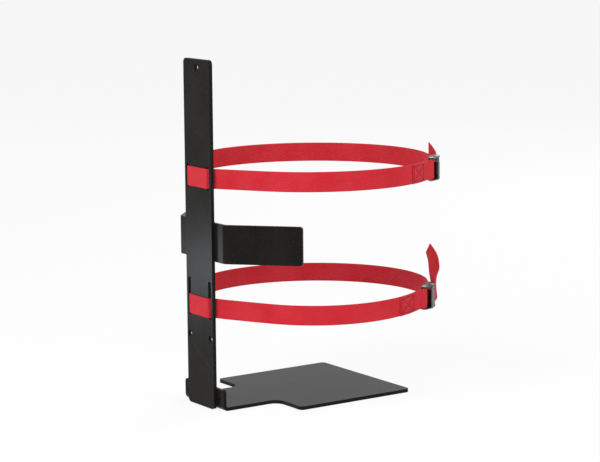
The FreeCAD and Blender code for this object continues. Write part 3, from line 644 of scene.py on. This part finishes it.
def walk(pieces, step, bend):
    """Points and directions along a route: even steps on runs, small turns on arcs."""
    stations = []
    for piece in pieces:
        if piece[0] == "line":
            a, b = piece[1], piece[2]
            count = max(1, round((b - a).length / step))
            ahead = (b - a).normalized()
            found = [(a + (b - a) * (i / count), ahead) for i in range(count + 1)]
        else:
            centre, radius, start, stop = piece[1:]
            turn = stop - start
            count = max(2, round(abs(turn) * radius / step), round(abs(turn) / bend))
            side = math.copysign(1.0, turn)
            found = []
            for i in range(count + 1):
                angle = start + turn * i / count
                ahead = Vector((-math.sin(angle), math.cos(angle))) * side
                found.append((around(centre, radius, angle), ahead))
        stations += found if not stations else found[1:]
    return stations


print("route tools ready")

# %% [markdown]
# The loose end leaves the buckle flat, then twists and stands up beside the hoop. Each
# row places the webbing's upper edge and then its lower edge, as millimetres back from the
# buckle, out from the hoop and up, and a smooth curve carries both edges through them.

# %% Loose end
TAILS = {
    "upper": [
        ((0.0, 0.0, 0.0), (0.0, 0.0, 0.0)),
        ((6.5, 1.8, 1.2), (7.5, 1.8, 1.2)),
        ((13.0, 0.8, 4.5), (16.5, -1.0, 4.6)),
        ((20.0, -3.5, 10.0), (26.0, -8.0, 10.6)),
        ((25.0, -9.0, 15.0), (32.0, -9.5, 16.5)),
    ],
    "lower": [
        ((0.0, 0.0, 0.0), (0.0, 0.0, 0.0)),
        ((5.5, 3.0, 1.0), (6.0, 4.5, 0.8)),
        ((12.0, 2.5, 6.0), (14.0, 5.0, 5.6)),
        ((18.0, 7.0, 16.0), (26.0, -5.0, 21.0)),
        ((21.0, 7.0, 26.0), (33.0, -10.0, 33.0)),
        ((22.5, 3.2, 37.0), (39.0, -12.5, 49.0)),
        ((24.0, -6.5, 50.0), (42.5, -16.0, 60.6)),
    ],
}
TAIL_STEPS = 8


def smooth_between(rows, steps):
    """Rows read along a smooth curve that passes through each of them."""
    padded = [rows[0], *rows, rows[-1]]
    found = []
    for index in range(1, len(padded) - 2):
        p0, p1, p2, p3 = padded[index - 1:index + 3]
        for step in range(steps if index < len(padded) - 3 else steps + 1):
            t = step / steps
            found.append(tuple(
                0.5 * (
                    2 * b + (c - a) * t + (2 * a - 5 * b + 4 * c - d) * t * t
                    + (3 * b - a - 3 * c + d) * t ** 3
                )
                for a, b, c, d in zip(p0, p1, p2, p3)
            ))
    return found


def tail_frames(buckle, rows, middle_z):
    """Centre, across and face directions of the loose end, in millimetres."""
    over = 3 * WEB_GAP + 1.5 * WEB_THICK + BUCKLE_SHEET
    rows = smooth_between([upper_edge + lower_edge for upper_edge, lower_edge in rows], TAIL_STEPS)
    places = []
    for row in rows:
        ends = []
        for side, (back_by, out_by, up) in ((1, row[:3]), (-1, row[3:])):
            flat = buckle.place(-BUCKLE_HALF - back_by, over + out_by)
            ends.append(Vector((flat.x, flat.y, middle_z + side * WEB_WIDTH / 2 + up)))
        places.append(((ends[0] + ends[1]) / 2, (ends[0] - ends[1]).normalized()))
    frames = []
    for index, (centre, across) in enumerate(places):
        ahead = -Vector((*buckle.along, 0))
        if index:
            ahead = places[min(index + 1, len(places) - 1)][0] - places[index - 1][0]
        frames.append((centre, across, across.cross(ahead).normalized()))
    return frames


print("loose ends rise", [rows[-1][0][2] for rows in TAILS.values()], "mm")

# %% [markdown]
# Webbing isn't a smooth tape. Warp cords lie side by side along it, so the cross section
# has a row of low ridges on each face and soft woven edges. The section is carried along
# the route as real geometry, and a UV map in metres records how far along and across each
# point lies, so that the weave of the finish follows every turn.

# %% Webbing mesh
RIDGES = 13
RIDGE_DEEP = 0.09
EDGE_ROUND = 0.62
EDGE_THICK = 0.8
WALK_STEP, WALK_BEND = 2.6, math.radians(9)


def web_section():
    """Across and through places round the webbing's section, from one edge and back."""
    half, thick = WEB_WIDTH / 2, WEB_THICK / 2
    flat = half - EDGE_ROUND
    places = []
    count = RIDGES * 2
    for side in (1, -1):
        for index in range(count + 1):
            share = index / count
            groove = 0.5 - 0.5 * math.cos(2 * math.pi * share * RIDGES)
            sink = RIDGE_DEEP * (1 - groove)
            places.append((side * flat * (2 * share - 1), side * (thick - sink)))
        for angle in (50, 0, -50):
            turn = math.radians(angle)
            out = flat + EDGE_ROUND * math.cos(turn)
            places.append((side * out, side * thick * EDGE_THICK * math.sin(turn)))
    return places


def web_mesh(name, frames):
    section = web_section()
    bm = bmesh.new()
    uv = bm.loops.layers.uv.new("weave")
    rings, travelled, before = [], 0.0, None
    for centre, across, face in frames:
        if before is not None:
            travelled += (centre - before).length
        before = centre
        ring = [bm.verts.new((centre + across * a + face * b) * MM) for a, b in section]
        rings.append((ring, travelled))
    count = len(section)
    for (one, at), (two, later) in zip(rings, rings[1:]):
        for side in range(count):
            after = (side + 1) % count
            quad = bm.faces.new((one[side], one[after], two[after], two[side]))
            places = ((at, side), (at, after), (later, after), (later, side))
            for loop, (run, index) in zip(quad.loops, places):
                loop[uv].uv = (run * MM, section[index][0] * MM)
            quad.smooth = True
    for ring, run in (rings[0], rings[-1]):
        cap = bm.faces.new(ring)
        for loop, (a, b) in zip(cap.loops, section):
            loop[uv].uv = (run * MM + b * MM, a * MM)
    mesh = finished(bm, name)
    print(name, "length", round(travelled), "mm,", len(mesh.polygons), "faces")
    return mesh


# %% [markdown]
# Red polyester webbing is bright, a little fuzzy and shows chevrons where its warp cords
# pass over and under. The weave group makes them from the UV map: columns across, slanted
# threads along, mirrored from one column to the next.

# %% Weave group
CROWN_SQUARE = 3.0
weave, given, handed = new_group(
    "weave", [("Column Width", 0.002), ("Thread Length", 0.0011), ("Slant", 0.8)], ["Height", "Gap"])
split = add(weave, "ShaderNodeSeparateXYZ")
link(weave, add(weave, "ShaderNodeUVMap", uv_map="weave").outputs[0], split.inputs[0])
column = math_node(weave, "DIVIDE", split.outputs["Y"], given.outputs["Column Width"])
across = math_node(weave, "SUBTRACT", math_node(weave, "FRACT", column), 0.5)
inside = math_node(weave, "ABSOLUTE", across)
lean = math_node(weave, "MULTIPLY", inside, given.outputs["Slant"])
thread = math_node(weave, "DIVIDE", split.outputs["X"], given.outputs["Thread Length"])
thread = math_node(weave, "FRACT", math_node(weave, "ADD", thread, lean))
hump = math_node(weave, "SINE", math_node(weave, "MULTIPLY", thread, math.pi))
flank = math_node(weave, "POWER", math_node(weave, "MULTIPLY", inside, 2.0), CROWN_SQUARE)
crown = math_node(weave, "SUBTRACT", 1.0, flank)
height = math_node(weave, "MULTIPLY", hump, crown)
link(weave, height, handed.inputs["Height"])
# The gap mask marks where the webbing's finish paints shade between the threads.
filled = math_node(weave, "POWER", height, 0.5)
link(weave, math_node(weave, "SUBTRACT", 1.0, filled, clamp=True), handed.inputs["Gap"])
print("weave group ready")

# %% [markdown]
# The webbing's red is darkened in the gaps between threads as painted shade, and stays a little paler on
# the fuzzy crowns, with a soft sheen at the edges of the view, as brushed polyester has. The sewing
# thread is the same red, darker.

# %% Webbing and thread
# The deepest red is painted shade for the gaps between threads.
RED, RED_GAP_SHADE, RED_PALE = (0.57, 0.018, 0.03), (0.33, 0.009, 0.015), (0.63, 0.031, 0.046)
THREAD_DARK, THREAD_LIGHT = (0.1, 0.004, 0.007), (0.17, 0.008, 0.012)

webbing, tree, shader = new_material(
    "red_webbing", Specular_IOR_Level=0.12, Sheen_Weight=0.07, Sheen_Roughness=0.4)
shader.inputs["Sheen Tint"].default_value = (1.0, 0.72, 0.72, 1)
weave_out = use_group(tree, weave)
grain_out = use_group(tree, grain, Fine_Scale=2600.0, Cloud_Scale=30.0)
colour = mix_colour(tree, ramp(tree, grain_out["Cloud"], 0.25, 0.75), RED, RED_PALE)
# Painted shade: the gaps between threads are darkened towards a deeper red.
colour = mix_colour(tree, math_node(tree, "MULTIPLY", weave_out["Gap"], 0.6), colour, RED_GAP_SHADE)
link(tree, colour, shader.inputs["Base Color"])
rough = spread(tree, grain_out["Pits"], 0.25, 0.62)
link(tree, rough, shader.inputs["Roughness"])
fuzz = math_node(tree, "MULTIPLY", grain_out["Pits"], 0.3)
bump(tree, shader, math_node(tree, "ADD", weave_out["Height"], fuzz), 0.0002, 0.8)

thread_finish, tree, shader = new_material("red_thread", Roughness=0.6, Specular_IOR_Level=0.3)
grain_out = use_group(tree, grain, Fine_Scale=4200.0, Cloud_Scale=60.0)
colour = mix_colour(tree, grain_out["Pits"], THREAD_DARK, THREAD_LIGHT)
link(tree, colour, shader.inputs["Base Color"])
bump(tree, shader, grain_out["Pits"], 0.0001, 0.6)
print("finishes:", webbing.name, thread_finish.name)

# %% [markdown]
# The sewn end is held by a box of stitches with a cross inside it. Each stitch is a short
# arched thread that dips into the webbing at both ends. They are laid out flat, on the
# length of webbing between two angles, and bent round with it, on both of its faces.

# %% Stitching
STITCH, STITCH_GAP = 2.3, 0.7
THREAD, THREAD_END, THREAD_WIDE, THREAD_SIDES = 0.5, 0.55, 1.25, 6
STITCH_PARTS, STITCH_ARCH, STITCH_SUNK = 6, 0.2, 0.16


def stitch_mesh(name, lines, at):
    """Small arched threads along flat lines; at(s, z, lift) gives a point in space."""
    bm = bmesh.new()
    for (s0, z0), (s1, z1) in lines:
        length = math.hypot(s1 - s0, z1 - z0)
        side_s, side_z = -(z1 - z0) / length, (s1 - s0) / length
        count = max(1, round(length / (STITCH + STITCH_GAP)))
        for index in range(count):
            begin = index / count
            finish = begin + STITCH / (STITCH + STITCH_GAP) / count
            rings = []
            for part in range(STITCH_PARTS + 1):
                share = part / STITCH_PARTS
                here = begin + (finish - begin) * share
                arch = math.sin(math.pi * share)
                s, z = s0 + (s1 - s0) * here, z0 + (z1 - z0) * here
                thin = THREAD * (THREAD_END + (1 - THREAD_END) * arch)
                ring = []
                for corner in range(THREAD_SIDES):
                    angle = 2 * math.pi * corner / THREAD_SIDES
                    off = thin * THREAD_WIDE * math.cos(angle)
                    lift = thin * math.sin(angle) + STITCH_ARCH * arch - STITCH_SUNK
                    ring.append(bm.verts.new(at(s + side_s * off, z + side_z * off, lift) * MM))
                rings.append(ring)
            skin(bm, rings)
    return finished(bm, name)


def box_and_cross(start, stop, half):
    a, b, c, d = (start, -half), (stop, -half), (stop, half), (start, half)
    return [(a, b), (b, c), (c, d), (d, a), (a, c), (b, d)]


BOX_INSET, BOX_LENGTH, BOX_HALF = 2.5, 27.0, 10.2
print("stitches a box:", len(box_and_cross(0, BOX_LENGTH, BOX_HALF)), "lines")

# %% [markdown]
# Each strap is put together from its route, its loose end and its stitched box. A strap
# under little pull hangs down between the plate and the buckle, by a few millimetres on
# the lower hoop, so its height is lowered by a smooth amount that is nought at both.

# %% Both straps
NEAR_SPAN, FAR_SPAN = (10.0, 121.0), (152.0, 350.0)
SPAN_SHARES = ((NEAR_SPAN, 1.0), (FAR_SPAN, 0.6))


def droop(place, depth):
    """How far the webbing hangs below its level at a place on the hoop."""
    bearing = math.degrees(math.atan2(place.x, -place.y)) % 360
    for (low, high), share in SPAN_SHARES:
        if low < bearing < high:
            return depth * share * math.sin(math.pi * (bearing - low) / (high - low)) ** 0.8
    return 0.0


def make_strap(prefix, hoop, angle, sag):
    buckle = Buckle(hoop, angle)
    low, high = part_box(f"{prefix}_buckle_loop_bar")
    middle_z = (low[2] + high[2]) / 2 / MM
    pieces, near_touch, lap_end, lap_radius = route(buckle)
    frames = []
    for place, ahead in walk(pieces, WALK_STEP, WALK_BEND):
        left = Vector((-ahead.y, ahead.x, 0))
        frames.append((Vector((place.x, place.y, middle_z - droop(place, sag))), UP, left))
    tail = tail_frames(buckle, TAILS[prefix], middle_z)
    if frames[-1][2].dot(tail[0][2]) < 0:
        frames = [(centre, across, -face) for centre, across, face in frames]
    frames += tail[1:]
    strap = put(f"{prefix}_webbing", web_mesh(f"{prefix}_webbing", frames), webbing)
    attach(strap, BODY)
    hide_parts(f"{prefix}_strap")
    lines = box_and_cross(BOX_INSET, BOX_INSET + BOX_LENGTH, BOX_HALF)

    def on_face(radius, side):
        """A tool that bends flat places of the lap onto its outer or its inner face."""
        def at(s, z, lift):
            spot = around(HUB, radius + side * lift, lap_end + s / lap_radius)
            return Vector((spot.x, spot.y, middle_z + z - droop(spot, sag)))
        return at

    for label, radius, side in (("outer", lap_radius + WEB_THICK / 2, 1), ("inner", hoop + WEB_GAP, -1)):
        name = f"{prefix}_{label}_stitching"
        mesh = stitch_mesh(name, lines, on_face(radius, side))
        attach(put(name, mesh, thread_finish), BODY)
    buckle.middle_z = middle_z
    return buckle


upper = make_strap("upper", 158.5, 137.5, 0.0)
lower = make_strap("lower", 155.0, 130.0, 3.8)

# %% [markdown]
# The buckles are folded steel with a dark plating, a cast cam lever and zinc plated pins.
# Each metal gets a finish of its own: the plating is nearly black and rubs through to
# steel, the cast grey is dull and grainy, and the zinc is bright and hardly clouded.

# %% Buckle metals
plated, tree, shader = new_material("dark_plating", Specular_IOR_Level=0.5)
grain_out = use_group(tree, grain, Fine_Scale=1500.0, Cloud_Scale=120.0)
worn = use_group(tree, edge_wear, Scale=420.0, Bare_Above=0.42)["Mask"]
colour = mix_colour(tree, grain_out["Cloud"], (0.01, 0.0105, 0.0115), (0.024, 0.025, 0.027))
link(tree, mix_colour(tree, worn, colour, (0.2, 0.205, 0.215)), shader.inputs["Base Color"])
link(tree, math_node(tree, "MULTIPLY", worn, 0.6), shader.inputs["Metallic"])
link(tree, spread(tree, grain_out["Cloud"], 0.25, 0.28), shader.inputs["Roughness"])
bump(tree, shader, grain_out["Pits"], 0.00005, 0.4)

cast, tree, shader = new_material("cast_grey", Specular_IOR_Level=0.5)
grain_out = use_group(tree, grain, Fine_Scale=1100.0, Cloud_Scale=90.0)
worn = use_group(tree, edge_wear, Scale=300.0, Bare_Above=0.4)["Mask"]
colour = mix_colour(tree, grain_out["Cloud"], (0.07, 0.072, 0.073), (0.13, 0.132, 0.133))
link(tree, mix_colour(tree, worn, colour, (0.5, 0.5, 0.52)), shader.inputs["Base Color"])
link(tree, spread(tree, worn, 0.3, 0.6), shader.inputs["Metallic"])
link(tree, spread(tree, grain_out["Cloud"], 0.2, 0.38), shader.inputs["Roughness"])
bump(tree, shader, grain_out["Pits"], 0.00012, 0.5)

zinc, tree, shader = new_material("zinc_plating", Specular_IOR_Level=0.5)
grain_out = use_group(tree, grain, Fine_Scale=2000.0, Cloud_Scale=200.0)
colour = mix_colour(tree, grain_out["Cloud"], (0.36, 0.37, 0.39), (0.58, 0.58, 0.6))
link(tree, colour, shader.inputs["Base Color"])
link(tree, spread(tree, grain_out["Cloud"], 0.1, 0.85), shader.inputs["Metallic"])
link(tree, spread(tree, grain_out["Pits"], 0.25, 0.22), shader.inputs["Roughness"])
bump(tree, shader, grain_out["Pits"], 0.00003, 0.3)
print("metals:", plated.name, cast.name, zinc.name)

# %% [markdown]
# The buckles' pieces keep their CAD shapes. Thin sheet and small pins need a narrower
# bevel than the heavy plate, and each lever rides on its own body, so that it can turn.

# %% Buckle pieces
SHEET_EDGE, PIN_EDGE = 0.00018, 0.00012
for prefix in ("upper", "lower"):
    soften(f"{prefix}_buckle_frame", SHEET_EDGE, plated)
    soften(f"{prefix}_buckle_loop_bar", PIN_EDGE, zinc)
    soften(f"{prefix}_buckle_lever_pin", PIN_EDGE, zinc)
    soften(f"{prefix}_buckle_cam_lever", PIN_EDGE, cast, f"{prefix}_lever")

# %% [markdown]
# The lever's spring is drawn as a smooth round wire on the CAD spring's middle line:
# a leg under the thumb tab, coils round the pin, and an end hooked through the cheek.
# When the lever is pressed the leg has to follow it while the hook stays in the cheek.
# Here the wire is built in place and belongs to neither body.

# %% Springs
WIRE, COIL, COILS, COIL_PITCH = 0.8, 2.4, 3, 1.04
PIN_PLACE, PIN_HEIGHT = -3.0, 10.3
SPRING_REACH, HOOK_REACH, SPRING_FIT = 9.0, 8.0, 0.1
HUB_RADIUS, TAB_RISE, TAB_THICK, TAB_REACH = 3.3, 3.0, 2.0, 16.0
SIDE_GAP = 0.5
TURN_STEPS, HOOK_STEPS, WIRE_SIDES = 40, 5, 10


def spring_line():
    """The wire's middle line in the buckle: x along, y out from the pin, z up.
    Also hands back the heights where the coils leave the hooked end and reach the leg."""
    cheek = WEB_WIDTH / 2 + SIDE_GAP
    slope = (TAB_RISE + TAB_THICK / 2 - HUB_RADIUS) / TAB_REACH
    press = Vector((SPRING_REACH, HUB_RADIUS - TAB_THICK + slope * SPRING_REACH - WIRE / 2 - SPRING_FIT))
    start = touching(press, COIL, -1)
    turned = 2 * math.pi * COILS + math.pi / 2 + start
    top_z = cheek - WIRE - 2 * SPRING_FIT
    low_z = top_z - COIL_PITCH * turned / (2 * math.pi)
    points = [Vector((press.x, press.y, low_z))]
    steps = COILS * TURN_STEPS
    for step in range(steps + 1):
        share = step / steps
        spot = around(HUB, COIL, start - turned * share)
        points.append(Vector((spot.x, spot.y, low_z + (top_z - low_z) * share)))
    bend = WIRE
    for step in range(HOOK_STEPS + 1):
        angle = math.pi / 2 * step / HOOK_STEPS
        points.append(Vector((
            -HOOK_REACH + bend - bend * math.sin(angle), -COIL, top_z + bend - bend * math.cos(angle))))
    points.append(Vector((-HOOK_REACH, -COIL, cheek + BUCKLE_SHEET)))
    return points, top_z - WIRE / 2, low_z + WIRE / 2


def wire_mesh(name, points, radius):
    bm = bmesh.new()
    rings, side = [], UP
    for index, point in enumerate(points):
        ahead = (points[min(index + 1, len(points) - 1)] - points[max(index - 1, 0)]).normalized()
        if ahead.cross(UP).length > 0.01:
            side = ahead.cross(UP).normalized()
        lift = side.cross(ahead)
        ring = []
        for corner in range(WIRE_SIDES):
            angle = 2 * math.pi * corner / WIRE_SIDES
            off = (side * math.cos(angle) + lift * math.sin(angle)) * radius
            ring.append(bm.verts.new((point + off) * MM))
        rings.append(ring)
    skin(bm, rings)
    return finished(bm, name)


for prefix, buckle in (("upper", upper), ("lower", lower)):
    points = []
    line, hook_z, leg_z = spring_line()
    for point in line:
        spot = buckle.place(PIN_PLACE + point.x, PIN_HEIGHT + point.y)
        points.append(Vector((spot.x, spot.y, buckle.middle_z + point.z)))
    name = f"{prefix}_spring_wire"
    spring = put(name, wire_mesh(name, points, WIRE / 2), zinc)
    pin = buckle.place(PIN_PLACE, PIN_HEIGHT)
    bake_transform(spring)
    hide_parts(f"{prefix}_buckle_spring")
    print(name, len(points), "stations")
